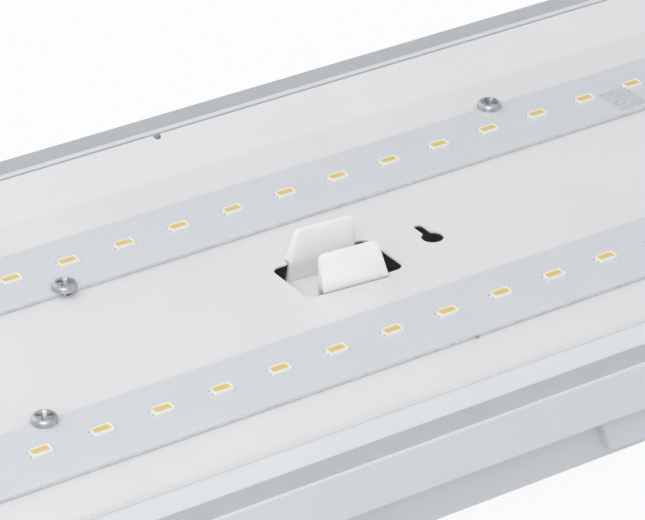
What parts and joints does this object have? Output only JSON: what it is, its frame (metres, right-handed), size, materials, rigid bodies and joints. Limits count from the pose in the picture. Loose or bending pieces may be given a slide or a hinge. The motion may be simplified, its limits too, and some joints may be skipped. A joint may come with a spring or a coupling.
{
  "type": "vapour-tight led light",
  "caption": "Long sealed-rim batten light shown open: grey moulded housing, folded white gear tray, two LED boards on screws, barbed tray clips, LED driver and wiring under the tray.",
  "frame": {"origin": "middle of the fitting, on the plane of its flat back", "axes": "+X along the fitting, +Y across it, +Z out of the back towards the LEDs"},
  "size_m": [0.662, 0.176, 0.0513],
  "materials": {
    "housing_plastic": "moulded light grey polycarbonate",
    "gasket_foam": "soft grey foam",
    "tray_paint": "white powder coat",
    "board_mask": "white solder mask",
    "led_case": "moulded white",
    "phosphor": "amber phosphor silicone",
    "connector_plastic": "moulded white",
    "zinc_steel": "bright zinc plate",
    "clip_plastic": "moulded white nylon",
    "driver_plastic": "moulded off-white",
    "cover_plastic": "moulded pale grey",
    "terminal_plastic": "moulded white",
    "tag_brass": "tinned brass",
    "wire_brown": "insulation",
    "wire_blue": "insulation",
    "wire_green_yellow": "insulation",
    "wire_red": "insulation",
    "wire_black": "insulation",
    "entry_rubber": "soft grey rubber"
  },
  "bodies": {
    "root": {"housing": "housing_plastic", "rim_gasket": "gasket_foam", "gear_tray": "tray_paint", "led_board_far": "board_mask", "led_board_near": "board_mask", "led_packages_far": "led_case", "led_packages_near": "led_case", "led_phosphor_far": "phosphor", "led_phosphor_near": "phosphor", "board_connectors": "connector_plastic", "board_screws": "zinc_steel", "tray_clip_right": "clip_plastic", "tray_clip_left": "clip_plastic", "clip_screws": "zinc_steel", "driver_case": "driver_plastic", "driver_cover_mains": "cover_plastic", "driver_cover_led": "cover_plastic", "driver_screws": "zinc_steel", "terminal_block": "terminal_plastic", "terminal_screws": "zinc_steel", "terminal_fixing_screw": "zinc_steel", "earth_tag": "tag_brass", "earth_screw": "zinc_steel", "live_wire": "wire_brown", "neutral_wire": "wire_blue", "earth_wire": "wire_green_yellow", "led_wires_plus": "wire_red", "led_wires_minus": "wire_black", "cable_grommet": "entry_rubber", "blanking_plug": "entry_rubber"}
  },
  "joints": []
}
